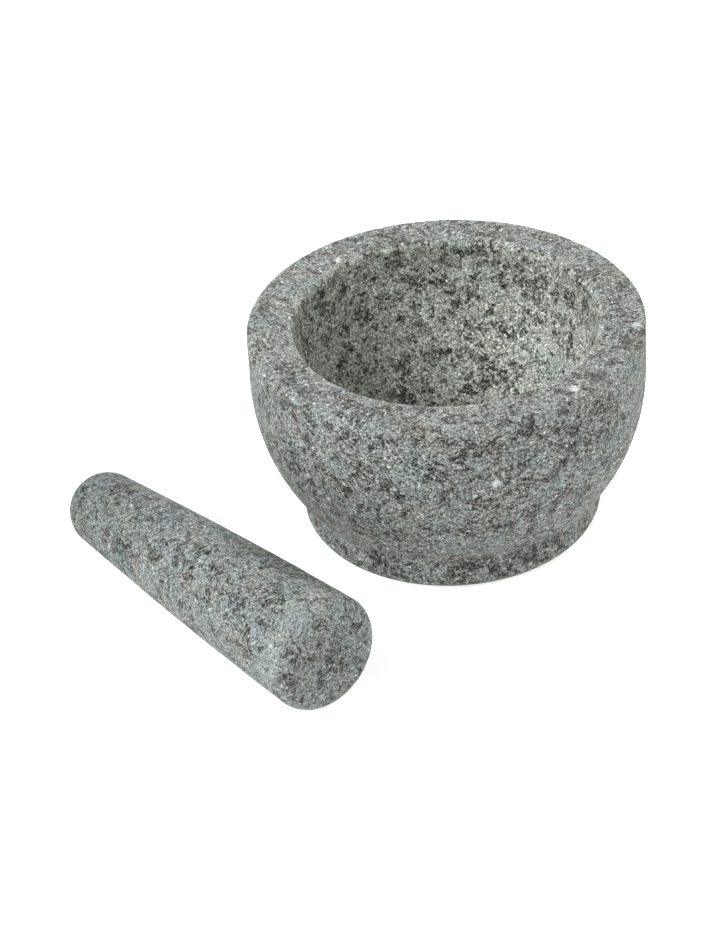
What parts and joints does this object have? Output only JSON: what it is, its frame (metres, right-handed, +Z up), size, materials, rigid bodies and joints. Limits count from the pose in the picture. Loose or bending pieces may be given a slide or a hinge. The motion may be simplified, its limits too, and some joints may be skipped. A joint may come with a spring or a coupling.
{
  "type": "granite mortar and pestle",
  "caption": "Thick-walled round granite mortar with a hemispherical bowl, flat rim and low foot, with a tapered, round-ended granite pestle lying beside it.",
  "frame": {"origin": "centre of the mortar's flat foot, on the surface that the mortar and the pestle rest on", "axes": "+Z up along the mortar's axis, out of the bowl; +X to the right and +Y to the back, so the pestle lies in front and to the left"},
  "size_m": [0.2226, 0.2115, 0.086],
  "materials": {
    "mortar_granite": "ground granite, matt, speckled grey-green with dark flakes",
    "pestle_granite": "ground granite, matt, slightly paler and finer than the mortar"
  },
  "bodies": {
    "mortar": {"mortar": "mortar_granite"},
    "pestle": {"pestle": "pestle_granite"}
  },
  "joints": [
    {"name": "pestle_lift", "type": "slide", "parent": "mortar", "child": "pestle", "axis": [0, 0, 1], "range_m": [0, 0.15]}
  ]
}
